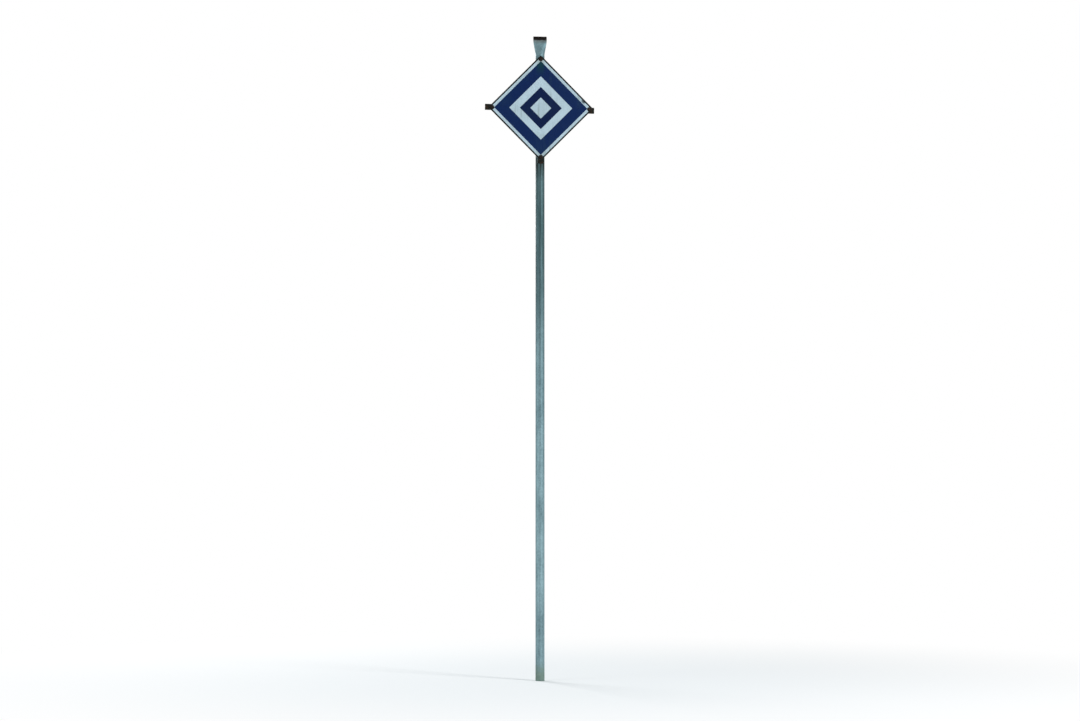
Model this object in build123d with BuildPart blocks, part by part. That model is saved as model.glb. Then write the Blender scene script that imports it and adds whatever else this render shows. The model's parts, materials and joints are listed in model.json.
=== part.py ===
"""Railway stop board for electric trains: a blue and white diamond plate on a galvanised tube mast.

The mast ends at ground level, with the origin at the centre of its foot and +Z up the mast.
The board faces -Y. All sizes are in millimetres.
"""

from build123d import *
import math
import os

# Mast: a steel tube whose top end is pressed flat and welded shut
mast_diameter = 60.3
mast_wall = 2.9
mast_height = 4295.0
pressed_height = 26.0
pressed_taper = 96.0
pressed_gap = 0.6
weld_height = 5.0
weld_inset = 1.0

# Board: a flat square plate that stands on one corner, near the top of the mast
board_below_top = 480.0
board_side = 500.0
board_thickness = 3.0
board_corner = 10.0

# Face: a white reflective sheet with black and blue sheets stuck on it, in bands from the edge inwards
sheet_thickness = 0.4
sheet_corner = 3.0
black_rim_width = 10.0
white_rim_width = 18.0
blue_field_width = 72.0
white_ring_width = 50.0
blue_ring_width = 50.0

# Carrier: an upright strap and a crossbar of flat steel, halved into each other
bar_width = 40.0
bar_thickness = 6.0
bar_corner = 3.0
strap_past_top_bolt = 17.0
strap_past_bottom_bolt = 42.0
strap_inside_edge = 1.0
crossbar_past_left_bolt = 47.0
crossbar_past_right_bolt = 33.0
crossbar_drop = 5.0
crossbar_tilt = -1.2
lap_clearance = 0.2
mast_seat_clearance = 0.1

# Bolts: one at each tip of the board, with a wide washer in front and a nut behind
bolt_from_tip = 25.5
right_bolt_drop = 4.0
bolt_diameter = 10.0
bolt_hole = 11.0
hex_across_flats = 17.0
head_height = 6.4
head_crown_inset = 0.5
head_crown_taper = 60.0
nut_height = 8.0
nut_bore_clearance = 0.1
front_washer_diameter = 30.0
front_washer_thickness = 2.5
back_washer_diameter = 20.0
back_washer_thickness = 2.0
washer_hole = 10.5
bolt_end_past_nut = 3.0

# Distances in front of the mast's axis at which the layers of the board lie
mast_radius = mast_diameter / 2
bore_radius = mast_radius - mast_wall
carrier_back = mast_radius + mast_seat_clearance
carrier_front = carrier_back + bar_thickness
plate_front = carrier_front + board_thickness
white_front = plate_front + sheet_thickness
face_front = white_front + sheet_thickness
washer_front = face_front + front_washer_thickness

# Pressed end: the flattened tube keeps the length round its wall, measured halfway through the wall
pressed_thickness = 2 * mast_wall + pressed_gap
pressed_width = math.pi * (mast_diameter - pressed_thickness) / 2 + pressed_thickness
pressed_start = mast_height - pressed_height
taper_start = pressed_start - pressed_taper

# Board: places in its own plane, from its centre
board_centre_height = mast_height - board_below_top
board_tip_reach = board_side / math.sqrt(2)
bolt_reach = board_tip_reach - bolt_from_tip
left_bolt = (-bolt_reach, 0)
right_bolt = (bolt_reach, -right_bolt_drop)
top_bolt = (0, bolt_reach)
bottom_bolt = (0, -bolt_reach)
rim_inside = board_side - 2 * black_rim_width
blue_field_outside = rim_inside - 2 * white_rim_width
blue_field_inside = blue_field_outside - 2 * blue_field_width
blue_ring_outside = blue_field_inside - 2 * white_ring_width
blue_ring_inside = blue_ring_outside - 2 * blue_ring_width

# Carrier: lengths of the two bars and the place of the crossbar's middle
strap_top = bolt_reach + strap_past_top_bolt
strap_bottom = bolt_reach + strap_past_bottom_bolt
strap_trim_side = board_side - 2 * strap_inside_edge
crossbar_length = crossbar_past_left_bolt + 2 * bolt_reach + crossbar_past_right_bolt
crossbar_middle = ((crossbar_past_right_bolt - crossbar_past_left_bolt) / 2, -crossbar_drop)

os.makedirs("parts", exist_ok=True)


def board_plane(distance, x=0, z=0):
    """A plane parallel to the board, distance in front of the mast's axis.

    Its origin lies x to the right of the board's centre and z above it.
    """
    return Plane(origin=(x, -distance, board_centre_height + z), x_dir=(1, 0, 0), z_dir=(0, -1, 0))


def save(part, name):
    """Labels a finished piece and writes it to its own file."""
    part.label = name
    export_step(part, f"parts/{name}.step")


# Mast: the tube and its pressed end, hollow, with through holes for the bolts in the top and bottom tips
with BuildPart() as mast_tube:
    with BuildSketch():
        Circle(mast_radius)
    extrude(amount=taper_start)
    with BuildSketch(Plane.XY.offset(taper_start)):
        Circle(mast_radius)
    with BuildSketch(Plane.XY.offset(pressed_start)):
        SlotOverall(pressed_width, pressed_thickness)
    loft(ruled=True)
    with BuildSketch(Plane.XY.offset(pressed_start)):
        SlotOverall(pressed_width, pressed_thickness)
    extrude(amount=pressed_height)
    with BuildSketch():
        Circle(bore_radius)
    extrude(amount=taper_start, mode=Mode.SUBTRACT)
    with BuildSketch(Plane.XY.offset(taper_start)):
        Circle(bore_radius)
    with BuildSketch(Plane.XY.offset(pressed_start)):
        Rectangle(pressed_width - 2 * mast_wall, pressed_gap)
    loft(ruled=True, mode=Mode.SUBTRACT)
    with BuildSketch(board_plane(0)):
        with Locations(top_bolt, bottom_bolt):
            Circle(bolt_hole / 2)
    extrude(amount=mast_diameter, both=True, mode=Mode.SUBTRACT)
save(mast_tube.part, "mast_tube")

# Weld: a round-backed bead that closes the pressed end
bead_width = pressed_thickness - 2 * weld_inset
bead_shoulder = weld_height - bead_width / 2
with BuildPart() as top_weld:
    with BuildSketch(Plane.XY.offset(mast_height)):
        SlotOverall(pressed_width - 2 * weld_inset, bead_width)
    extrude(amount=weld_height)
    with BuildSketch(Plane.YZ):
        with Locations((0, mast_height + bead_shoulder / 2)):
            Rectangle(bead_width, bead_shoulder)
        with Locations((0, mast_height + bead_shoulder)):
            Circle(bead_width / 2)
    extrude(amount=pressed_width, both=True, mode=Mode.INTERSECT)
save(top_weld.part, "top_weld")

# Board: the plate and the white sheet over the whole of it, drilled for the four bolts
for name, back, thickness in (
    ("board_plate", carrier_front, board_thickness),
    ("white_sheet", plate_front, sheet_thickness),
):
    with BuildPart() as layer:
        with BuildSketch(board_plane(back)):
            RectangleRounded(board_side, board_side, board_corner, rotation=45)
            with Locations(left_bolt, right_bolt, top_bolt, bottom_bolt):
                Circle(bolt_hole / 2, mode=Mode.SUBTRACT)
        extrude(amount=thickness)
    save(layer.part, name)

# Face: the black rim along the plate's edge
with BuildPart() as black_rim:
    with BuildSketch(board_plane(white_front)):
        RectangleRounded(board_side, board_side, board_corner, rotation=45)
        RectangleRounded(rim_inside, rim_inside, sheet_corner, rotation=45, mode=Mode.SUBTRACT)
    extrude(amount=sheet_thickness)
save(black_rim.part, "black_rim")

# Face: the two blue bands, each a square sheet with a square window
for name, outside, inside in (
    ("blue_field", blue_field_outside, blue_field_inside),
    ("blue_ring", blue_ring_outside, blue_ring_inside),
):
    with BuildPart() as blue_band:
        with BuildSketch(board_plane(white_front)):
            RectangleRounded(outside, outside, sheet_corner, rotation=45)
            Rectangle(inside, inside, rotation=45, mode=Mode.SUBTRACT)
        extrude(amount=sheet_thickness)
    save(blue_band.part, name)

# Carrier: the upright strap, its upper half trimmed to stay behind the board's tip, halved in front
with BuildPart() as upright_strap:
    with BuildSketch(board_plane(carrier_back)) as strap_outline:
        with Locations((0, strap_top / 2)):
            Rectangle(bar_width, strap_top)
        Rectangle(strap_trim_side, strap_trim_side, rotation=45, mode=Mode.INTERSECT)
        with Locations((0, -strap_bottom / 2)):
            Rectangle(bar_width, strap_bottom)
        fillet(strap_outline.vertices().group_by(Axis.Y)[0], bar_corner)
        with Locations(top_bolt, bottom_bolt):
            Circle(bolt_hole / 2, mode=Mode.SUBTRACT)
    extrude(amount=bar_thickness)
    with BuildSketch(board_plane(carrier_front)):
        with Locations(crossbar_middle):
            Rectangle(crossbar_length, bar_width + 2 * lap_clearance, rotation=crossbar_tilt)
    extrude(amount=-bar_thickness / 2, mode=Mode.SUBTRACT)
save(upright_strap.part, "upright_strap")

# Carrier: the crossbar, a little out of level, halved behind
with BuildPart() as crossbar:
    with BuildSketch(board_plane(carrier_back)):
        with Locations(crossbar_middle):
            RectangleRounded(crossbar_length, bar_width, bar_corner, rotation=crossbar_tilt)
        with Locations(left_bolt, right_bolt):
            Circle(bolt_hole / 2, mode=Mode.SUBTRACT)
    extrude(amount=bar_thickness)
    with BuildSketch(board_plane(carrier_back)):
        Rectangle(bar_width + 2 * lap_clearance, 2 * strap_bottom)
    extrude(amount=bar_thickness / 2, mode=Mode.SUBTRACT)
save(crossbar.part, "crossbar")

# Bolts: those in the left and right tips end behind the crossbar, those on the mast go right through it
for tip, place, nut_seat in (
    ("left", left_bolt, carrier_back),
    ("right", right_bolt, carrier_back),
    ("top", top_bolt, -carrier_back),
    ("bottom", bottom_bolt, -carrier_back),
):
    back_washer_back = nut_seat - back_washer_thickness
    nut_back = back_washer_back - nut_height
    bolt_end = nut_back - bolt_end_past_nut

    with BuildPart() as front_washer:
        with BuildSketch(board_plane(face_front, *place)):
            Circle(front_washer_diameter / 2)
            Circle(washer_hole / 2, mode=Mode.SUBTRACT)
        extrude(amount=front_washer_thickness)
    save(front_washer.part, f"{tip}_front_washer")

    with BuildPart() as bolt:
        with BuildSketch(board_plane(washer_front, *place)):
            RegularPolygon(hex_across_flats / 2, side_count=6, major_radius=False)
        extrude(amount=head_height)
        with BuildSketch(board_plane(washer_front + head_height, *place)):
            Circle(hex_across_flats / 2 - head_crown_inset)
        extrude(amount=-head_height, taper=-head_crown_taper, mode=Mode.INTERSECT)
        with BuildSketch(board_plane(washer_front, *place)):
            Circle(bolt_diameter / 2)
        extrude(amount=bolt_end - washer_front)
    save(bolt.part, f"{tip}_bolt")

    with BuildPart() as back_washer:
        with BuildSketch(board_plane(back_washer_back, *place)):
            Circle(back_washer_diameter / 2)
            Circle(washer_hole / 2, mode=Mode.SUBTRACT)
        extrude(amount=back_washer_thickness)
    save(back_washer.part, f"{tip}_back_washer")

    with BuildPart() as nut:
        with BuildSketch(board_plane(nut_back, *place)):
            RegularPolygon(hex_across_flats / 2, side_count=6, major_radius=False)
            Circle(bolt_diameter / 2 + nut_bore_clearance, mode=Mode.SUBTRACT)
        extrude(amount=nut_height)
    save(nut.part, f"{tip}_nut")
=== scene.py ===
"""Railway stop board on a galvanised tube mast: its fine metalwork, finishes, light and camera."""

import json
import math
import random

import bmesh
import bpy
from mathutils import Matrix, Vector

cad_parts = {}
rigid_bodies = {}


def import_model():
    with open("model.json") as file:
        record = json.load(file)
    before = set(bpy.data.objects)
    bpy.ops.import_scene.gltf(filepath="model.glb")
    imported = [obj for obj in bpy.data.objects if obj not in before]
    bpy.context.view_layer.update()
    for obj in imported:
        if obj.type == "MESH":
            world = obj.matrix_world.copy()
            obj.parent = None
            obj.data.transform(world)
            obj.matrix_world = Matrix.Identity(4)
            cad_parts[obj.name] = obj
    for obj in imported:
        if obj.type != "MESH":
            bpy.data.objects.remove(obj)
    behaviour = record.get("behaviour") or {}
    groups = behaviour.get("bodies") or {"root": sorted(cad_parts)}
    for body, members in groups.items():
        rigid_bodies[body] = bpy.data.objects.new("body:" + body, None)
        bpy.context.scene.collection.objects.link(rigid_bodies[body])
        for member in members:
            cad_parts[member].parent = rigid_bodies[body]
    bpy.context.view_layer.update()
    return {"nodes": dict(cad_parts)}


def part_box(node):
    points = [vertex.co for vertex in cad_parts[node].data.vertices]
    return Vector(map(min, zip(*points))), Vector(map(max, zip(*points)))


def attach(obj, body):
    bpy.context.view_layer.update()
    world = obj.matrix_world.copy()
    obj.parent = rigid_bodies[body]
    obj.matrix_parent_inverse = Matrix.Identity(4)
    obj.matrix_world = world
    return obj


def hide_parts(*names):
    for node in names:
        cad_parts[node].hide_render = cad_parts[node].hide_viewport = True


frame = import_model()

MM = 0.001

# Modelling: vertices this near to each other are doubles, and an edge this near to a height lies at it
merge_distance = 0.01 * MM
level_tolerance = 0.05 * MM

# Mast: sizes that the frame's boxes give, then the tube's own
mast_low, mast_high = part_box("mast_tube")
weld_low, weld_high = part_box("top_weld")
mast_radius = (mast_high.y - mast_low.y) / 2
pressed_width = mast_high.x - mast_low.x
mast_wall = 2.9 * MM
pressed_thickness = 6.4 * MM
pressed_height = 26 * MM
pressed_taper = 96 * MM
pressed_start = mast_high.z - pressed_height
taper_start = pressed_start - pressed_taper

# Board: the middle of its plate
plate_low, plate_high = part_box("board_plate")
board_middle = (plate_low + plate_high) / 2

# Bolts: M10, with a head and nut 17 mm across flats
thread_pitch = 1.5 * MM
thread_crest = 4.95 * MM
thread_root = 4.1 * MM
thread_rise = 0.4 * thread_pitch
thread_length = 21 * MM
across_flats = 17 * MM
corner_radius = across_flats / math.sqrt(3)
head_height = 6.4 * MM
bearing_face = 0.4 * MM
nut_height = 8 * MM

# Crown: the cone, 30 degrees from flat, that takes the corners off a head or nut
crown_radius = 0.95 * across_flats / 2
crown_reach = corner_radius + 0.5 * MM
crown_drop = (crown_reach - crown_radius) * math.tan(math.radians(30))

# Holes: their radii through the tube, in a nut and in a washer
tube_hole = 5.5 * MM
nut_bore = 5.05 * MM
washer_hole = 5.25 * MM


def only(piece):
    """Makes one piece the selected and active one."""
    bpy.ops.object.select_all(action="DESELECT")
    piece.select_set(True)
    bpy.context.view_layer.objects.active = piece


def named(name):
    """Gives the active piece its name, and puts its place and turn into its mesh."""
    piece = bpy.context.object
    piece.name = name
    piece.data.name = name
    only(piece)
    bpy.ops.object.transform_apply(location=True, rotation=True, scale=True)
    return piece


def edit(piece):
    """Opens a piece for editing with nothing selected."""
    only(piece)
    bpy.ops.object.mode_set(mode="EDIT")
    bpy.ops.mesh.select_all(action="DESELECT")


def close_edit(outwards=True):
    """Merges doubles, turns the faces outwards and goes back to the whole piece."""
    bpy.ops.mesh.select_mode(type="VERT")
    bpy.ops.mesh.select_all(action="SELECT")
    bpy.ops.mesh.remove_doubles(threshold=merge_distance)
    if outwards:
        bpy.ops.mesh.normals_make_consistent(inside=False)
    bpy.ops.object.mode_set(mode="OBJECT")


def pick(piece, mode, wanted):
    """Selects, in edit mode, the vertices or edges that wanted() accepts."""
    bpy.ops.mesh.select_mode(type=mode)
    bpy.ops.mesh.select_all(action="DESELECT")
    mesh = bmesh.from_edit_mesh(piece.data)
    for element in {"VERT": mesh.verts, "EDGE": mesh.edges}[mode]:
        if wanted(element):
            element.select_set(True)
    mesh.select_flush_mode()
    bmesh.update_edit_mesh(piece.data)


def level(height):
    """A test for edges that lie at one height."""
    return lambda edge: all(abs(corner.co.z - height) < level_tolerance for corner in edge.verts)


def apply_modifier(piece, kind, **settings):
    """Adds a modifier with its settings and applies it."""
    only(piece)
    modifier = piece.modifiers.new(kind.title(), kind)
    for key, value in settings.items():
        setattr(modifier, key, value)
    bpy.ops.object.modifier_apply(modifier=modifier.name)


def cut(piece, tool, operation):
    """Cuts a piece with a second closed mesh, or joins that to it, and deletes the second."""
    apply_modifier(piece, "BOOLEAN", object=tool, operation=operation, solver="EXACT")
    bpy.data.objects.remove(tool)


def smooth(piece, degrees):
    """Shades a piece smooth, apart from edges sharper than an angle, and keeps its large faces flat."""
    only(piece)
    bpy.ops.object.shade_smooth_by_angle(angle=math.radians(degrees))
    apply_modifier(piece, "WEIGHTED_NORMAL", keep_sharp=True, weight=90)


def rod(name, radius, start, length, sides=48):
    """A closed round bar along the bolt's own line, which runs from the head at the front towards +Y."""
    bpy.ops.object.select_all(action="DESELECT")
    bpy.ops.mesh.primitive_cylinder_add(
        vertices=sides,
        radius=radius,
        depth=length,
        location=(0, start + length / 2, 0),
        rotation=(math.pi / 2, 0, 0),
    )
    return named(name)


def profile(name, points):
    """An open or closed line through points, each a radius from the bolt's line and a place along it."""
    bpy.ops.object.select_all(action="DESELECT")
    radius, along = points[0]
    bpy.ops.mesh.primitive_plane_add(size=MM, location=(radius, along, 0))
    line = named(name)
    edit(line)
    bpy.ops.mesh.select_all(action="SELECT")
    bpy.ops.mesh.merge(type="CENTER")
    for next_radius, next_along in points[1:]:
        bpy.ops.mesh.extrude_region_move(
            TRANSFORM_OT_translate={"value": (next_radius - radius, next_along - along, 0)}
        )
        radius, along = next_radius, next_along
    return line


def turned(name, points):
    """A piece turned on the bolt's line from a profile, as on a lathe."""
    piece = profile(name, points)
    bpy.ops.mesh.select_all(action="SELECT")
    bpy.ops.mesh.spin(steps=64, angle=2 * math.pi, center=(0, 0, 0), axis=(0, 1, 0))
    close_edit()
    return piece


def turned_solid(name, points):
    """A turned piece whose profile begins and ends on the bolt's line."""
    return turned(name, [(0, points[0][1]), *points, (0, points[-1][1])])


def turned_ring(name, points):
    """A turned piece with a hole, from a profile that comes back to its start."""
    return turned(name, [*points, points[0]])


def model_mast():
    """The tube, bridged to a flat slot of the same length round, then given its wall inwards."""
    sides = 96
    arc_sides = 5
    straight_cuts = sides // 2 - arc_sides - 1
    arc_corner = math.pi / (2 * arc_sides + 2)
    slot_radius = pressed_thickness / 2 / math.cos(arc_corner)
    slot_half_run = (pressed_width - pressed_thickness) / 2

    bpy.ops.object.select_all(action="DESELECT")
    bpy.ops.mesh.primitive_cylinder_add(
        vertices=sides,
        radius=mast_radius,
        depth=taper_start,
        end_fill_type="NOTHING",
        location=(0, 0, taper_start / 2),
        rotation=(0, 0, math.pi / sides),
    )
    mast = named("mast")
    edit(mast)
    bpy.ops.mesh.primitive_circle_add(
        vertices=2 * arc_sides + 2,
        radius=slot_radius,
        location=(0, 0, pressed_start),
        rotation=(0, 0, arc_corner),
    )
    for side in (-1, 1):
        pick(mast, "VERT", lambda corner: corner.co.z > pressed_start - MM and corner.co.x * side > 0)
        bpy.ops.transform.translate(value=(side * slot_half_run, 0, 0))
    at_slot = level(pressed_start)
    at_taper = level(taper_start)
    pick(mast, "EDGE", lambda edge: at_slot(edge) and edge.calc_length() > slot_half_run)
    bpy.ops.mesh.subdivide(number_cuts=straight_cuts)
    pick(mast, "EDGE", at_slot)
    bpy.ops.mesh.extrude_region_move(
        TRANSFORM_OT_translate={"value": (0, 0, mast_high.z - pressed_start)}
    )

    # The press leaves a soft curve between the round tube and the flat end
    pick(mast, "EDGE", lambda edge: at_slot(edge) or at_taper(edge))
    bpy.ops.mesh.bridge_edge_loops(number_cuts=14, interpolation="SURFACE", smoothness=0.35)
    close_edit()
    apply_modifier(mast, "SOLIDIFY", thickness=mast_wall, offset=-1, use_even_offset=True)

    drill_reach = 50 * MM
    for tip in ("top", "bottom"):
        bolt_low, bolt_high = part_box(f"{tip}_bolt")
        drill = rod("drill", tube_hole, -drill_reach, 2 * drill_reach, sides=32)
        only(drill)
        bpy.ops.transform.translate(value=(0, 0, (bolt_low.z + bolt_high.z) / 2))
        bpy.ops.object.transform_apply(location=True)
        cut(mast, drill, "DIFFERENCE")
    smooth(mast, degrees=32)
    return mast


mast = model_mast()
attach(mast, "root")
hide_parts("mast_tube")


def model_weld():
    """A hand-laid bead: overlapping puddles in a row, a little uneven, run together into one skin."""
    puddle_step = 2.3 * MM
    end_inset = 2.4 * MM
    middle_height = mast_high.z + 0.4 * MM
    lean = math.radians(-28)
    # Half a puddle's size along, across and up the bead: the least and the most, in millimetres
    half_sizes = ((2.3, 2.7), (2.7, 3.1), (3.9, 4.4))
    run = weld_high.x - weld_low.x - 2 * end_inset
    count = round(run / puddle_step)

    uneven = random.Random(7)
    puddles = []
    for number in range(count + 1):
        along = weld_low.x + end_inset + run * number / count
        bpy.ops.object.select_all(action="DESELECT")
        bpy.ops.mesh.primitive_uv_sphere_add(
            segments=20,
            ring_count=12,
            radius=1,
            location=(along, uneven.uniform(-0.35, 0.35) * MM, middle_height),
            rotation=(0, lean, uneven.uniform(-0.2, 0.2)),
            scale=[uneven.uniform(least, most) * MM for least, most in half_sizes],
        )
        puddles.append(named("puddle"))
    bpy.ops.object.select_all(action="DESELECT")
    for puddle in puddles:
        puddle.select_set(True)
    bpy.context.view_layer.objects.active = puddles[0]
    bpy.ops.object.join()
    bead = named("weld_bead")
    apply_modifier(bead, "REMESH", mode="VOXEL", voxel_size=0.45 * MM)
    apply_modifier(bead, "SMOOTH", factor=0.5, iterations=2)
    smooth(bead, degrees=180)
    return bead


weld_bead = model_weld()
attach(weld_bead, "root")
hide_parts("top_weld")


def eased_copy(node, name, width):
    """A merged copy of a CAD node with its sheared edges eased, as mill edges and cut edges are."""
    bpy.ops.object.select_all(action="DESELECT")
    solid = frame["nodes"][node]
    solid.select_set(True)
    bpy.context.view_layer.objects.active = solid
    bpy.ops.object.duplicate()
    bpy.ops.object.parent_clear(type="CLEAR_KEEP_TRANSFORM")
    copy = named(name)
    for key in [key for key in copy.keys() if key.startswith("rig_")]:
        del copy[key]
    bpy.ops.mesh.customdata_custom_splitnormals_clear()

    # The triangles of each flat face become one face, so that only real edges are eased
    edit(copy)
    bpy.ops.mesh.select_all(action="SELECT")
    bpy.ops.mesh.remove_doubles(threshold=merge_distance)
    bpy.ops.mesh.dissolve_limited(angle_limit=math.radians(1))
    close_edit()
    apply_modifier(
        copy, "BEVEL", width=width, segments=3, limit_method="ANGLE", angle_limit=math.radians(40)
    )
    smooth(copy, degrees=35)
    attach(copy, "root")
    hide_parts(node)
    return copy


plate = eased_copy("board_plate", "aluminium_plate", width=0.35 * MM)
upright_bar = eased_copy("upright_strap", "upright_bar", width=0.8 * MM)
cross_bar = eased_copy("crossbar", "cross_bar", width=0.8 * MM)


def hexagon(name, start, height):
    """A hexagonal bar along the bolt's line."""
    return rod(name, corner_radius, start, height, sides=6)


def model_thread(name, end):
    """A real helical thread: one tooth wound round a core, chamfered at the bolt's end."""
    start = end - thread_length
    # The tooth's foot lies inside the core, so that the two join
    tooth_foot = thread_root - 0.4 * MM
    tooth = [
        (tooth_foot, start),
        (thread_crest, start + thread_rise),
        (thread_crest, start + 0.55 * thread_pitch),
        (tooth_foot, start + 0.92 * thread_pitch),
    ]
    profile("tooth", [*tooth, tooth[0]])
    close_edit(outwards=False)
    wound = bpy.context.object
    apply_modifier(
        wound,
        "SCREW",
        axis="Y",
        steps=28,
        render_steps=28,
        screw_offset=thread_pitch,
        iterations=round(thread_length / thread_pitch) + 1,
    )
    edit(wound)
    bpy.ops.mesh.select_all(action="SELECT")
    bpy.ops.mesh.remove_doubles(threshold=merge_distance)
    bpy.ops.mesh.fill_holes(sides=8)
    close_edit()

    chamfer = 0.9 * MM
    clear_of_crest = 0.3 * MM
    envelope = [
        (thread_crest + clear_of_crest, start - 0.5 * MM),
        (thread_crest + clear_of_crest, end - chamfer - clear_of_crest),
        (thread_crest - chamfer, end),
    ]
    thread = rod(name, thread_root, start - MM, thread_length + 2 * MM)
    cut(thread, wound, "UNION")
    cut(thread, turned_solid("chamfer", envelope), "INTERSECT")
    return thread


def model_bolt(name, length):
    """A hexagon bolt: a crowned head on its bearing face, the shank and the thread at its end."""
    bolt = hexagon(name, -head_height, head_height - bearing_face)
    crowned = [
        (crown_radius, -head_height),
        (crown_reach, -head_height + crown_drop),
        (crown_reach, MM),
    ]
    cut(bolt, turned_solid("crown", crowned), "INTERSECT")
    cut(bolt, rod("bearing_face", crown_radius, -2 * bearing_face, 2 * bearing_face), "UNION")
    shank_length = length - thread_length + thread_rise
    cut(bolt, rod("shank", thread_crest - 0.1 * MM, -MM, shank_length + MM), "UNION")
    cut(bolt, model_thread("thread", length), "UNION")
    smooth(bolt, degrees=28)
    return bolt


def model_nut():
    """A hexagon nut, crowned on both faces, with a bore countersunk at 45 degrees."""
    nut = hexagon("nut", 0, nut_height)
    crowned = [
        (crown_radius, 0),
        (crown_reach, crown_drop),
        (crown_reach, nut_height - crown_drop),
        (crown_radius, nut_height),
    ]
    cut(nut, turned_solid("crown", crowned), "INTERSECT")
    countersink = 0.6 * MM
    past_face = 0.3 * MM
    flare = nut_bore + countersink + past_face
    drilled = [
        (flare, -past_face),
        (nut_bore, countersink),
        (nut_bore, nut_height - countersink),
        (flare, nut_height + past_face),
    ]
    cut(nut, turned_solid("bore", drilled), "DIFFERENCE")
    smooth(nut, degrees=28)
    return nut


def model_washer(name, radius, thickness):
    """A punched washer: one face with a rolled edge, the other with a sharp one."""
    roll = 0.35 * thickness
    roll_corner = 0.3 * roll
    sharp_edge = 0.1 * MM
    washer = turned_ring(
        name,
        [
            (washer_hole, thickness),
            (washer_hole, roll_corner),
            (washer_hole + roll_corner, 0),
            (radius - roll, 0),
            (radius - roll_corner, roll_corner),
            (radius, roll),
            (radius, thickness - sharp_edge),
            (radius - sharp_edge, thickness),
        ],
    )
    smooth(washer, degrees=40)
    return washer


def fit(model, tip, kind, turn):
    """Copies a fastener to a tip of the board, turned as it was left when tightened."""
    node = f"{tip}_{kind}"
    low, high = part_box(node)
    only(model)
    bpy.ops.object.duplicate()
    bpy.ops.transform.rotate(value=math.radians(turn), orient_axis="Y", center_override=(0, 0, 0))
    start = low.y + (head_height if kind == "bolt" else 0)
    bpy.ops.transform.translate(value=((low.x + high.x) / 2, start, (low.z + high.z) / 2))
    fastener = named(f"{tip}_{kind}_piece")
    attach(fastener, "root")
    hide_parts(node)
    return fastener


def bolt_length(tip):
    """How far a tip's bolt reaches behind its head."""
    low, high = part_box(f"{tip}_bolt")
    return high.y - low.y - head_height


short_bolt = model_bolt("short_bolt", bolt_length("left"))
long_bolt = model_bolt("long_bolt", bolt_length("top"))
nut = model_nut()
wide_washer = model_washer("wide_washer", radius=15 * MM, thickness=2.5 * MM)
small_washer = model_washer("small_washer", radius=10 * MM, thickness=2 * MM)

# Each tip's bolt and nut stand at their own angles in degrees, and the washers at others
fasteners = []
for tip, bolt_model, bolt_turn, nut_turn in (
    ("left", short_bolt, 17, 48),
    ("right", short_bolt, -9, 22),
    ("top", long_bolt, 34, 5),
    ("bottom", long_bolt, 6, -25),
):
    fasteners.append(fit(bolt_model, tip, "bolt", bolt_turn))
    fasteners.append(fit(nut, tip, "nut", nut_turn))
    fasteners.append(fit(wide_washer, tip, "front_washer", bolt_turn * 3))
    fasteners.append(fit(small_washer, tip, "back_washer", nut_turn * 5))
for model in (short_bolt, long_bolt, nut, wide_washer, small_washer):
    bpy.data.objects.remove(model)


# Sockets of the Mix node, which has several of one name: for colours, then for vectors
FACTOR, FIRST, SECOND, MIXED = 0, 6, 7, 2
FIRST_VECTOR, SECOND_VECTOR, MIXED_VECTOR = 4, 5, 1


def linear(code):
    """Turns an sRGB hex colour into Blender's linear one."""
    values = []
    for place in (0, 2, 4):
        value = int(code[place : place + 2], 16) / 255
        values.append(value / 12.92 if value <= 0.04045 else ((value + 0.055) / 1.055) ** 2.4)
    return (*values, 1)


def connect(tree, node, inputs):
    """Fills a node's inputs, each with a node's first output, one given output or a plain value."""
    for key, value in inputs.items():
        if isinstance(value, bpy.types.Node):
            value = value.outputs[0]
        if isinstance(value, bpy.types.NodeSocket):
            tree.links.new(value, node.inputs[key])
        else:
            node.inputs[key].default_value = value


def add(tree, kind, inputs, **settings):
    """Adds a shader node with its settings and inputs, which go by name, or by number where names repeat."""
    node = tree.nodes.new("ShaderNode" + kind)
    for key, value in settings.items():
        setattr(node, key, value)
    connect(tree, node, inputs)
    return node


def new_finish(name):
    """A new material, its node tree, its shader, and the places on the piece that its patterns follow."""
    material = bpy.data.materials.new(name)
    material.use_nodes = True
    tree = material.node_tree
    place = add(tree, "TexCoord", {}).outputs["Object"]
    return material, tree, tree.nodes["Principled BSDF"], place


def dress(piece, material):
    """Gives a piece one material all over."""
    if piece.material_slots:
        for slot in piece.material_slots:
            slot.material = material
    else:
        piece.data.materials.append(material)


def per_metre(size_mm):
    """The scale of a pattern whose features are this many millimetres wide."""
    return 1000 / size_mm


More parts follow.
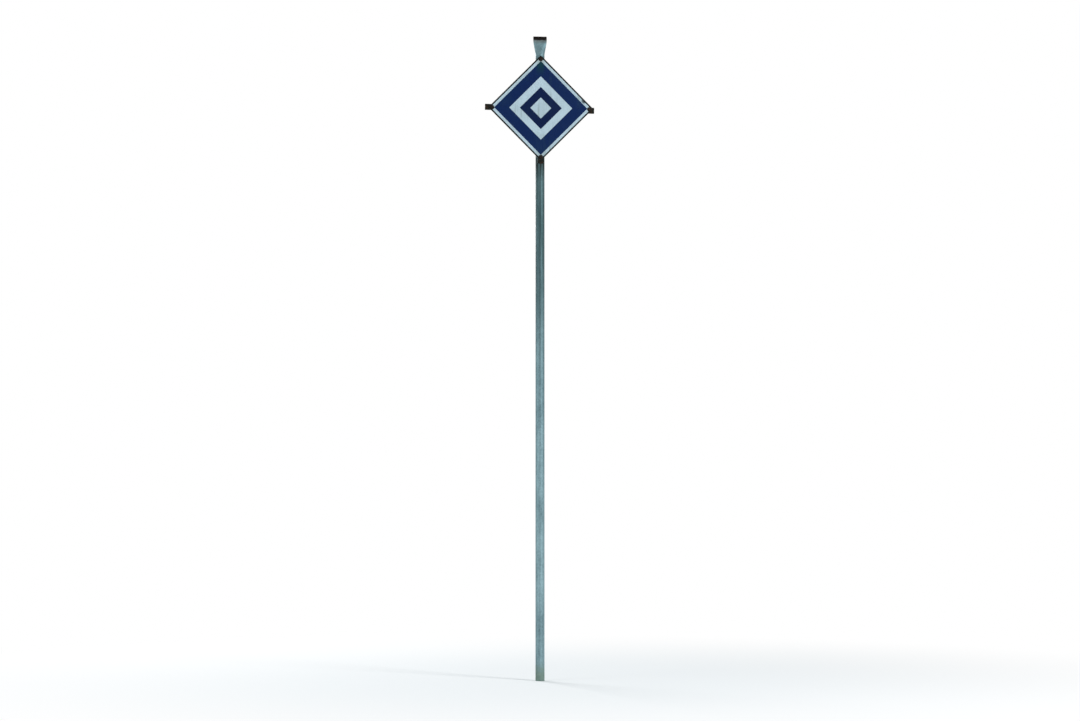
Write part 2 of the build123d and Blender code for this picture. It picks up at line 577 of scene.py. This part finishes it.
def weathered_galvanising():
    """Hot-dip galvanised steel after years outdoors.

    Dull blue-grey zinc with faint crystals about 8 mm across, rain runs and chalky white rust. The welded
    end is burnt nearly black, the lowest metre is painted paler as light, the tube is painted darker as
    shade for a metre below the board and dark under the strap with shade and rust runs, and its foot is
    green.
    """
    material, tree, shader, place = new_finish("hot_dip_galvanised_steel_weathered")
    height = add(tree, "SeparateXYZ", {0: place}).outputs["Z"]

    # Crystals, each of one tone, with borders bent by up to a few millimetres
    wander = add(tree, "TexNoise", {"Vector": place, "Scale": per_metre(9), "Detail": 2.0})
    bend = (4 * MM, 4 * MM, 4 * MM)
    bent = add(
        tree, "VectorMath", {0: wander.outputs["Color"], 1: bend, 2: place}, operation="MULTIPLY_ADD"
    )
    crystals = add(tree, "TexVoronoi", {"Vector": bent, "Scale": per_metre(8)})
    crystal = add(tree, "SeparateColor", {0: crystals.outputs["Color"]})

    # Patches and runs, both drawn out down the mast, then the grain and the white rust
    tall = add(tree, "Mapping", {"Vector": place, "Scale": (1, 1, 0.35)})
    patches = add(
        tree, "TexNoise", {"Vector": tall, "Scale": per_metre(95), "Detail": 6.0, "Roughness": 0.62}
    )
    drawn_out = add(tree, "Mapping", {"Vector": place, "Scale": (1, 1, 0.035)})
    runs = add(tree, "TexNoise", {"Vector": drawn_out, "Scale": per_metre(9), "Detail": 4.0})
    grain = add(tree, "TexNoise", {"Vector": place, "Scale": per_metre(3), "Detail": 3.0})
    white_rust = add(
        tree, "TexNoise",
        {"Vector": place, "Scale": per_metre(24), "Detail": 9.0, "Roughness": 0.72, "Distortion": 0.2},
    )

    # Marks up the mast: the two heights in metres between which each one changes, and its strength below
    # and above them. White rust makes the edges of the damp foot and of the burnt end ragged.
    splashed = add(tree, "Math", {0: white_rust, 1: -200 * MM, 2: height}, operation="MULTIPLY_ADD")
    ragged = add(tree, "Math", {0: white_rust, 1: 16 * MM, 2: height}, operation="MULTIPLY_ADD")
    marks = {}
    for mark, reading, low, high, strength_below, strength_above in (
        ("damp", splashed, -0.07, 0.05, 0.85, 0.0),
        # This row paints light: the lowest metre paler
        ("painted_light_low", height, 0.2, 1.3, 0.24, 0.0),
        # This row paints shade: the mast darker from 1.65 m up to the board
        ("below_board", height, 1.65, 2.9, 0.0, 1.0),
        # This row paints a dark band under the strap: painted shade under the board, and rust runs
        ("under_strap", height, 3.31, 3.45, 0.0, 0.85),
        ("behind_board", height, 3.45, 3.53, 1.0, 0.2),
        ("above_board", height, 4.13, 4.18, 1.0, 0.25),
        ("tint", ragged, 4.25, 4.284, 0.0, 0.65),
        ("burnt", ragged, 4.278, 4.2865, 0.0, 1.0),
    ):
        marks[mark] = add(
            tree, "MapRange",
            {
                "Value": reading, "From Min": low, "From Max": high,
                "To Min": strength_below, "To Max": strength_above,
            },
            interpolation_type="SMOOTHSTEP",
        )

    # Zinc: crystals, patches and runs tone it, and the lowest metre is painted paler, as painted light
    crystal_tone = add(tree, "Math", {0: crystal, 1: 0.38, 2: -0.19}, operation="MULTIPLY_ADD")
    patch_tone = add(
        tree, "MapRange",
        {"Value": patches, "From Min": 0.3, "From Max": 0.72, "To Min": 0.15, "To Max": 0.8},
        interpolation_type="SMOOTHSTEP",
    )
    run_tone = add(tree, "Math", {0: runs, 1: 0.9, 2: -0.45}, operation="MULTIPLY_ADD")
    tone = add(tree, "Math", {0: crystal_tone, 1: patch_tone})
    tone = add(tree, "Math", {0: tone, 1: marks["painted_light_low"]})
    tone = add(tree, "Math", {0: tone, 1: run_tone}, use_clamp=True)
    zinc = add(
        tree, "Mix", {FACTOR: tone, FIRST: linear("536C73"), SECOND: linear("88A4AB")}, data_type="RGBA"
    ).outputs[MIXED]

    # Chalk: white rust where it is thickest
    chalk = add(
        tree, "MapRange",
        {"Value": white_rust, "From Min": 0.62, "From Max": 0.7, "To Min": 0.0, "To Max": 0.45},
        interpolation_type="SMOOTHSTEP",
    )

    # Painted shade: the mast darker up to the board, in runs, and mostly gone above it
    shade_up_to_board = add(tree, "Math", {0: marks["below_board"], 1: marks["above_board"]}, operation="MULTIPLY")
    shade_in_runs = add(tree, "Math", {0: runs, 1: 1.0, 2: 0.32}, operation="MULTIPLY_ADD")
    painted_shade = add(tree, "Math", {0: shade_up_to_board, 1: shade_in_runs}, operation="MULTIPLY", use_clamp=True)

    # Rust runs and painted shade under the board, down from the strap's end, and less of it behind the board
    strap_runs = add(
        tree, "MapRange",
        {"Value": runs, "From Min": 0.42, "From Max": 0.58, "To Min": 0.25, "To Max": 1.0},
        interpolation_type="SMOOTHSTEP",
    )
    shade_and_rust_run = marks["under_strap"]
    for share in (strap_runs, marks["behind_board"], marks["above_board"]):
        shade_and_rust_run = add(tree, "Math", {0: shade_and_rust_run, 1: share}, operation="MULTIPLY")

    # Layers from the zinc outwards, with painted shade below the board and under the strap among them;
    # the last two are the scale of the burnt end and the green of the foot
    scale_colour = add(
        tree, "Mix", {FACTOR: white_rust, FIRST: linear("050505"), SECOND: linear("1A1512")},
        data_type="RGBA",
    ).outputs[MIXED]
    green = add(
        tree, "Mix", {FACTOR: white_rust, FIRST: linear("425C4C"), SECOND: linear("8C9F94")},
        data_type="RGBA",
    ).outputs[MIXED]
    colour = zinc
    for share, layer in (
        (chalk, linear("A6B7BB")),
        (painted_shade, linear("2F4547")),
        (shade_and_rust_run, linear("232722")),
        (marks["tint"], linear("4F4B44")),
        (marks["burnt"], scale_colour),
        (marks["damp"], green),
    ):
        colour = add(
            tree, "Mix", {FACTOR: share, FIRST: colour, SECOND: layer}, data_type="RGBA"
        ).outputs[MIXED]

    # What covers the zinc is matt and raised, and isn't metal
    covered = chalk
    for share in (marks["damp"], marks["burnt"], shade_and_rust_run):
        covered = add(tree, "Math", {0: covered, 1: share}, operation="MAXIMUM")
    metal = add(tree, "MapRange", {"Value": covered, "To Min": 0.72, "To Max": 0.08})
    matt = add(tree, "Math", {0: crystal, 1: 0.14, 2: 0.44}, operation="MULTIPLY_ADD")
    matt = add(tree, "Math", {0: covered, 1: 0.28, 2: matt}, operation="MULTIPLY_ADD")
    lumps = add(tree, "Math", {0: crystal, 1: 0.12, 2: grain}, operation="MULTIPLY_ADD")
    lumps = add(tree, "Math", {0: covered, 1: 0.35, 2: lumps}, operation="MULTIPLY_ADD")
    relief = add(tree, "Bump", {"Strength": 0.35, "Distance": 0.25 * MM, "Height": lumps})
    connect(tree, shader, {
        "Base Color": colour,
        "Metallic": metal,
        "Roughness": matt,
        "Normal": relief,
        "Specular IOR Level": 0.1,
    })
    return material


def rusted_weld():
    """Bare weld steel that was never galvanised: nearly black scale with brown rust in its hollows."""
    material, tree, shader, place = new_finish("bare_weld_steel_rusted")
    blooms = add(
        tree, "TexNoise", {"Vector": place, "Scale": per_metre(9), "Detail": 6.0, "Roughness": 0.65}
    )
    pits = add(tree, "TexNoise", {"Vector": place, "Scale": per_metre(0.9), "Detail": 3.0})
    rust = add(
        tree, "MapRange", {"Value": blooms, "From Min": 0.44, "From Max": 0.66},
        interpolation_type="SMOOTHSTEP",
    )
    colour = add(
        tree, "Mix", {FACTOR: rust, FIRST: linear("0B0908"), SECOND: linear("33211A")}, data_type="RGBA"
    ).outputs[MIXED]
    connect(tree, shader, {
        "Base Color": colour,
        "Metallic": add(tree, "MapRange", {"Value": rust, "To Min": 0.55, "To Max": 0.0}),
        "Roughness": add(tree, "MapRange", {"Value": rust, "To Min": 0.5, "To Max": 0.88}),
        "Normal": add(tree, "Bump", {"Strength": 0.5, "Distance": 0.12 * MM, "Height": pits}),
        "Specular IOR Level": 0.08,
    })
    return material


def rolled_aluminium():
    """Mill-finish aluminium sheet: fine rolling lines along one side, gone dull, with water marks."""
    material, tree, shader, place = new_finish("aluminium_sheet_mill_finish")
    along_side = add(tree, "Mapping", {"Vector": place, "Rotation": (0, math.radians(45), 0)})
    stretched = add(tree, "Mapping", {"Vector": along_side, "Scale": (0.02, 1, 1)})
    # Real rolling lines are about 0.1 mm apart: drawn 0.7 mm apart, so that they show
    lines = add(tree, "TexNoise", {"Vector": stretched, "Scale": per_metre(0.7), "Detail": 2.0})
    water_marks = add(
        tree, "TexNoise",
        {"Vector": place, "Scale": per_metre(70), "Detail": 7.0, "Roughness": 0.6, "Distortion": 0.6},
    )
    hanging = add(tree, "Mapping", {"Vector": place, "Scale": (1, 1, 0.06)})
    runs = add(
        tree, "TexNoise", {"Vector": hanging, "Scale": per_metre(8), "Detail": 7.0, "Roughness": 0.6}
    )
    oxide = add(
        tree, "MapRange",
        {"Value": water_marks, "From Min": 0.45, "From Max": 0.68, "To Min": 0.0, "To Max": 0.75},
        interpolation_type="SMOOTHSTEP",
    )
    streak = add(
        tree, "MapRange",
        {"Value": runs, "From Min": 0.54, "From Max": 0.74, "To Min": 0.0, "To Max": 0.42},
    )
    colour = add(
        tree, "Mix", {FACTOR: lines, FIRST: linear("999FA2"), SECOND: linear("B5BABC")}, data_type="RGBA"
    ).outputs[MIXED]
    for share, layer in ((oxide, "B4B9B8"), (streak, "6C716D")):
        colour = add(
            tree, "Mix", {FACTOR: share, FIRST: colour, SECOND: linear(layer)}, data_type="RGBA"
        ).outputs[MIXED]
    matt = add(
        tree, "MapRange",
        {"Value": lines, "From Min": 0.3, "From Max": 0.7, "To Min": 0.34, "To Max": 0.5},
    )
    connect(tree, shader, {
        "Base Color": colour,
        "Metallic": add(tree, "MapRange", {"Value": oxide, "To Min": 0.95, "To Max": 0.55}),
        "Roughness": add(tree, "Math", {0: oxide, 1: 0.22, 2: matt}, operation="MULTIPLY_ADD"),
        "Normal": add(tree, "Bump", {"Strength": 0.15, "Distance": 0.05 * MM, "Height": lines}),
    })
    return material


def reflective_sheet(name, colour, cell_wall, dirt, dirt_share, stain, stain_share):
    """Retroreflective road-sign sheeting: a clear smooth top over honeycomb cells, with rain dirt.

    The cells are 3.2 mm across, as in the real sheeting. The pattern follows the board's sides and the dirt
    hangs straight down. A stain runs down from the top tip's bolt, and a smudge lies near the right tip.
    """
    material, tree, shader, place = new_finish(name)

    # Honeycomb: how far a point lies from the nearest cell's middle, towards that cell's walls
    along_side = add(tree, "Mapping", {"Vector": place, "Rotation": (0, math.radians(45), 0)})
    cell = Vector((3.2 * MM, 1, 3.2 * MM * math.sqrt(3)))
    offsets = []
    for shift in (Vector((0, 0, 0)), cell / 2):
        moved = add(tree, "VectorMath", {0: along_side, 1: shift})
        wrapped = add(tree, "VectorMath", {0: moved, 1: cell / 2, 2: -cell / 2}, operation="WRAP")
        offsets.append(add(tree, "VectorMath", {0: wrapped, 1: (1, 0, 1)}, operation="MULTIPLY"))
    reach = [add(tree, "VectorMath", {0: offset}, operation="LENGTH").outputs["Value"] for offset in offsets]
    second = add(tree, "Math", {0: reach[0], 1: reach[1]}, operation="GREATER_THAN")
    nearest = add(
        tree, "Mix", {FACTOR: second, FIRST_VECTOR: offsets[0], SECOND_VECTOR: offsets[1]},
        data_type="VECTOR",
    ).outputs[MIXED_VECTOR]
    nearest = add(tree, "VectorMath", {0: nearest}, operation="ABSOLUTE")
    side_way = (1, 0, 0)
    slant_way = (0.5, 0, math.sqrt(3) / 2)
    to_side, to_slant = (
        add(tree, "VectorMath", {0: nearest, 1: way}, operation="DOT_PRODUCT").outputs["Value"]
        for way in (side_way, slant_way)
    )
    off_middle = add(tree, "Math", {0: to_side, 1: to_slant}, operation="MAXIMUM")
    wall = add(
        tree, "MapRange",
        {"Value": off_middle, "From Min": cell.x / 2 - 0.35 * MM, "From Max": cell.x / 2 - 0.1 * MM},
        interpolation_type="SMOOTHSTEP",
    )
    celled = add(
        tree, "Mix", {FACTOR: wall, FIRST: linear(colour), SECOND: linear(cell_wall)}, data_type="RGBA"
    ).outputs[MIXED]

    # Dirt: narrow runs, strongest where a cloud of it lies
    hanging = add(tree, "Mapping", {"Vector": place, "Scale": (1, 1, 0.05)})
    runs = add(
        tree, "TexNoise", {"Vector": hanging, "Scale": per_metre(16), "Detail": 5.0, "Roughness": 0.6}
    )
    clouds = add(tree, "TexNoise", {"Vector": place, "Scale": per_metre(120), "Detail": 5.0})
    run_dirt = add(
        tree, "MapRange", {"Value": runs, "From Min": 0.46, "From Max": 0.72},
        interpolation_type="SMOOTHSTEP",
    )
    cloud_dirt = add(
        tree, "MapRange",
        {"Value": clouds, "From Min": 0.4, "From Max": 0.66, "To Min": 0.15, "To Max": 1.0},
        interpolation_type="SMOOTHSTEP",
    )
    dirtiness = add(tree, "Math", {0: run_dirt, 1: cloud_dirt}, operation="MULTIPLY")
    dirtiness = add(tree, "Math", {0: cloud_dirt, 1: 0.35, 2: dirtiness}, operation="MULTIPLY_ADD")
    film = add(tree, "Math", {0: dirtiness, 1: dirt_share}, operation="MULTIPLY", use_clamp=True)

    # Stain: in line with the top bolt, with ragged sides, fading out from 0.3 to 0.2 m above the middle
    across = add(tree, "SeparateXYZ", {0: place})
    side = add(tree, "Math", {0: across.outputs["X"]}, operation="ABSOLUTE")
    ragged = add(tree, "Math", {0: runs, 1: -50 * MM, 2: side}, operation="MULTIPLY_ADD")
    in_line = add(
        tree, "MapRange",
        {"Value": ragged, "From Min": -20 * MM, "From Max": 12 * MM, "To Min": 1.0, "To Max": 0.0},
        interpolation_type="SMOOTHSTEP",
    )
    hung = add(
        tree, "MapRange",
        {
            "Value": across.outputs["Z"],
            "From Min": board_middle.z + 200 * MM, "From Max": board_middle.z + 300 * MM,
            "To Min": 0.0, "To Max": stain_share,
        },
        interpolation_type="SMOOTHSTEP",
    )
    run_down = add(tree, "Math", {0: in_line, 1: hung}, operation="MULTIPLY")

    # Smudge: dark grey up to 9 mm from its middle, and gone at 24 mm
    smudge_place = (292 * MM, board_middle.y, board_middle.z + 52 * MM)
    off_smudge = add(tree, "VectorMath", {0: place, 1: smudge_place}, operation="DISTANCE")
    smudge = add(
        tree, "MapRange",
        {
            "Value": off_smudge.outputs["Value"], "From Min": 9 * MM, "From Max": 24 * MM,
            "To Min": 0.9, "To Max": 0.0,
        },
        interpolation_type="SMOOTHSTEP",
    )

    # Layers from the sheeting outwards
    finished = celled
    for share, layer in ((film, dirt), (run_down, stain), (smudge, "23292A")):
        finished = add(
            tree, "Mix", {FACTOR: share, FIRST: finished, SECOND: linear(layer)}, data_type="RGBA"
        ).outputs[MIXED]
    connect(tree, shader, {
        "Base Color": finished,
        "Roughness": add(tree, "Math", {0: film, 1: 0.5, 2: 0.32}, operation="MULTIPLY_ADD"),
        "Normal": add(tree, "Bump", {"Strength": 0.12, "Distance": 0.04 * MM, "Height": wall}),
        # The acrylic top has lost most of its shine
        "Specular IOR Level": 0.08,
    })
    return material


def black_film():
    """Black vinyl film along the plate's edge: semi-gloss, greyed by patches of dust."""
    material, tree, shader, place = new_finish("black_vinyl_film_weathered")
    dust = add(
        tree, "TexNoise", {"Vector": place, "Scale": per_metre(28), "Detail": 6.0, "Roughness": 0.62}
    )
    share = add(
        tree, "MapRange",
        {"Value": dust, "From Min": 0.42, "From Max": 0.7, "To Min": 0.05, "To Max": 0.5},
        interpolation_type="SMOOTHSTEP",
    )
    colour = add(
        tree, "Mix", {FACTOR: share, FIRST: linear("080A0A"), SECOND: linear("343B39")}, data_type="RGBA"
    ).outputs[MIXED]
    orange_peel = add(tree, "TexNoise", {"Vector": place, "Scale": per_metre(2.5)})
    connect(tree, shader, {
        "Base Color": colour,
        "Roughness": add(tree, "MapRange", {"Value": share, "To Min": 0.4, "To Max": 0.75}),
        "Normal": add(tree, "Bump", {"Strength": 0.1, "Distance": 0.05 * MM, "Height": orange_peel}),
        "Specular IOR Level": 0.08,
    })
    return material


def black_painted_bar():
    """Flat mild steel under old black paint: brush and mill unevenness, rust through at chips and ends."""
    material, tree, shader, place = new_finish("mild_steel_flat_black_paint_rusting")
    blooms = add(
        tree, "TexNoise",
        {"Vector": place, "Scale": per_metre(32), "Detail": 8.0, "Roughness": 0.68, "Distortion": 0.3},
    )
    flecks = add(tree, "TexNoise", {"Vector": place, "Scale": per_metre(5), "Detail": 4.0})
    rustiness = add(tree, "Math", {0: flecks, 1: 0.35, 2: blooms}, operation="MULTIPLY_ADD")

    # The ends of the bars rust a little more than their middles
    cross_middle = (0, board_middle.y, board_middle.z)
    from_middle = add(tree, "VectorMath", {0: place, 1: cross_middle}, operation="DISTANCE")
    near_end = add(
        tree, "MapRange",
        {
            "Value": from_middle.outputs["Value"], "From Min": 280 * MM, "From Max": 370 * MM,
            "To Min": 0.0, "To Max": 0.05,
        },
        interpolation_type="SMOOTHSTEP",
    )
    rustiness = add(tree, "Math", {0: rustiness, 1: near_end})
    rust = add(
        tree, "MapRange",
        {"Value": rustiness, "From Min": 0.77, "From Max": 0.85, "To Min": 0.0, "To Max": 0.9},
        interpolation_type="SMOOTHSTEP",
    )
    paint = add(
        tree, "Mix", {FACTOR: flecks, FIRST: linear("070807"), SECOND: linear("1D201A")}, data_type="RGBA"
    ).outputs[MIXED]
    rust_colour = add(
        tree, "Mix", {FACTOR: flecks, FIRST: linear("23160F"), SECOND: linear("52311F")}, data_type="RGBA"
    ).outputs[MIXED]
    colour = add(
        tree, "Mix", {FACTOR: rust, FIRST: paint, SECOND: rust_colour}, data_type="RGBA"
    ).outputs[MIXED]
    raised = add(tree, "Math", {0: flecks, 1: 0.5, 2: rust}, operation="MULTIPLY_ADD")
    connect(tree, shader, {
        "Base Color": colour,
        "Roughness": add(tree, "MapRange", {"Value": rust, "To Min": 0.5, "To Max": 0.9}),
        "Normal": add(tree, "Bump", {"Strength": 0.45, "Distance": 0.2 * MM, "Height": raised}),
        "Specular IOR Level": 0.08,
    })
    return material


def blackened_fastener():
    """Forged steel fasteners, blackened and never painted since: dull black-brown with rust specks."""
    material, tree, shader, place = new_finish("blackened_forged_steel_fasteners")
    specks = add(
        tree, "TexNoise", {"Vector": place, "Scale": per_metre(7), "Detail": 7.0, "Roughness": 0.7}
    )
    pits = add(tree, "TexNoise", {"Vector": place, "Scale": per_metre(1.2), "Detail": 3.0})
    rust = add(
        tree, "MapRange",
        {"Value": specks, "From Min": 0.5, "From Max": 0.64, "To Min": 0.0, "To Max": 0.9},
        interpolation_type="SMOOTHSTEP",
    )
    colour = add(
        tree, "Mix", {FACTOR: rust, FIRST: linear("14120F"), SECOND: linear("402B1F")}, data_type="RGBA"
    ).outputs[MIXED]
    connect(tree, shader, {
        "Base Color": colour,
        "Metallic": add(tree, "MapRange", {"Value": rust, "To Min": 0.6, "To Max": 0.0}),
        "Roughness": add(tree, "MapRange", {"Value": rust, "To Min": 0.46, "To Max": 0.88}),
        "Normal": add(tree, "Bump", {"Strength": 0.4, "Distance": 0.1 * MM, "Height": pits}),
        "Specular IOR Level": 0.22,
    })
    return material


dress(mast, weathered_galvanising())
dress(weld_bead, rusted_weld())
dress(plate, rolled_aluminium())
painted_bar = black_painted_bar()
dress(upright_bar, painted_bar)
dress(cross_bar, painted_bar)
fastener_steel = blackened_fastener()
for fastener in fasteners:
    dress(fastener, fastener_steel)

white_sheeting = reflective_sheet(
    "retroreflective_sheeting_white", colour="AFC3CD", cell_wall="9CB2BC",
    dirt="7A8A8A", dirt_share=0.5, stain="788875", stain_share=0.45,
)
field_sheeting = reflective_sheet(
    "retroreflective_sheeting_blue_field", colour="041C48", cell_wall="082350",
    dirt="1B3548", dirt_share=0.32, stain="0A3634", stain_share=0.75,
)
ring_sheeting = reflective_sheet(
    "retroreflective_sheeting_blue_ring", colour="02143A", cell_wall="051B42",
    dirt="172E3E", dirt_share=0.25, stain="0A3634", stain_share=0.0,
)
dress(frame["nodes"]["white_sheet"], white_sheeting)
dress(frame["nodes"]["blue_field"], field_sheeting)
dress(frame["nodes"]["blue_ring"], ring_sheeting)
dress(frame["nodes"]["black_rim"], black_film())


def seen_rays(tree):
    """1 where the camera looks, itself or through a reflection or glass, and 0 for light on the object."""
    path = add(tree, "LightPath", {}).outputs
    seen = add(
        tree, "Math", {0: path["Is Camera Ray"], 1: path["Is Glossy Ray"]}, operation="MAXIMUM"
    )
    return add(tree, "Math", {0: seen, 1: path["Is Transmission Ray"]}, operation="MAXIMUM")


def studio_floor():
    """A plain pale floor that keeps the object's shadow and fades to white far from the mast."""
    bpy.ops.object.select_all(action="DESELECT")
    bpy.ops.mesh.primitive_circle_add(vertices=96, radius=60, fill_type="NGON", location=(0, 0, 0))
    floor = named("studio_floor")
    material, tree, shader, place = new_finish("studio_floor_pale")
    connect(tree, shader, {"Base Color": linear("F1F2F2"), "Roughness": 0.9})
    far = add(tree, "VectorMath", {0: place}, operation="LENGTH").outputs["Value"]
    fade = add(
        tree, "MapRange", {"Value": far, "From Min": 0.8, "From Max": 5.0},
        interpolation_type="SMOOTHSTEP",
    )
    share = add(tree, "Math", {0: seen_rays(tree), 1: fade}, operation="MULTIPLY")
    glow = add(tree, "Emission", {"Color": (1, 1, 1, 1), "Strength": 1.0})
    blend = add(tree, "MixShader", {0: share, 1: shader, 2: glow})
    connect(tree, tree.nodes["Material Output"], {"Surface": blend})
    dress(floor, material)


def studio_world():
    """An even pale sky for light, which looks white to the camera."""
    world = bpy.data.worlds.new("studio_world")
    bpy.context.scene.world = world
    world.use_nodes = True
    tree = world.node_tree
    even = tree.nodes["Background"]
    connect(tree, even, {"Color": linear("E4EEF4"), "Strength": 0.5})
    white = add(tree, "Background", {"Color": (1, 1, 1, 1), "Strength": 1.0})
    blend = add(tree, "MixShader", {0: seen_rays(tree), 1: even, 2: white})
    connect(tree, tree.nodes["World Output"], {"Surface": blend})


def studio_lamps():
    """Three soft square lamps, well back, so that the mast's foot and top get nearly the same light."""
    aim = Vector((0, 0, 2.4))
    for name, place, width, watts in (
        ("key_lamp", (6.5, -7.5, 5.5), 2.2, 640),
        ("fill_lamp", (-8.0, -4.0, 3.5), 4.0, 210),
        ("back_lamp", (-4.0, 8.0, 5.5), 4.0, 520),
    ):
        lamp_data = bpy.data.lights.new(name, "AREA")
        lamp_data.shape = "SQUARE"
        lamp_data.size = width
        lamp_data.energy = watts
        lamp = bpy.data.objects.new(name, lamp_data)
        bpy.context.scene.collection.objects.link(lamp)
        lamp.location = place
        lamp.rotation_euler = (aim - Vector(place)).to_track_quat("-Z", "Y").to_euler()


def camera_as_in_the_photo():
    """Stands where the photo was taken from, aims at the mast's middle and fills the frame with it."""
    distance = 19.2
    azimuth = math.radians(-8)
    eye_height = 1.54
    aim_height = 2.13
    camera_data = bpy.data.cameras.new("camera")
    camera_data.lens = 96
    camera_data.clip_end = 200
    camera = bpy.data.objects.new("camera", camera_data)
    bpy.context.scene.collection.objects.link(camera)
    bpy.context.scene.camera = camera
    camera.location = (distance * math.sin(azimuth), -distance * math.cos(azimuth), eye_height)
    aim = Vector((0, 0, aim_height)) - camera.location
    camera.rotation_euler = aim.to_track_quat("-Z", "Y").to_euler()


studio_floor()
studio_world()
studio_lamps()
camera_as_in_the_photo()
bpy.context.scene.view_settings.view_transform = "Standard"
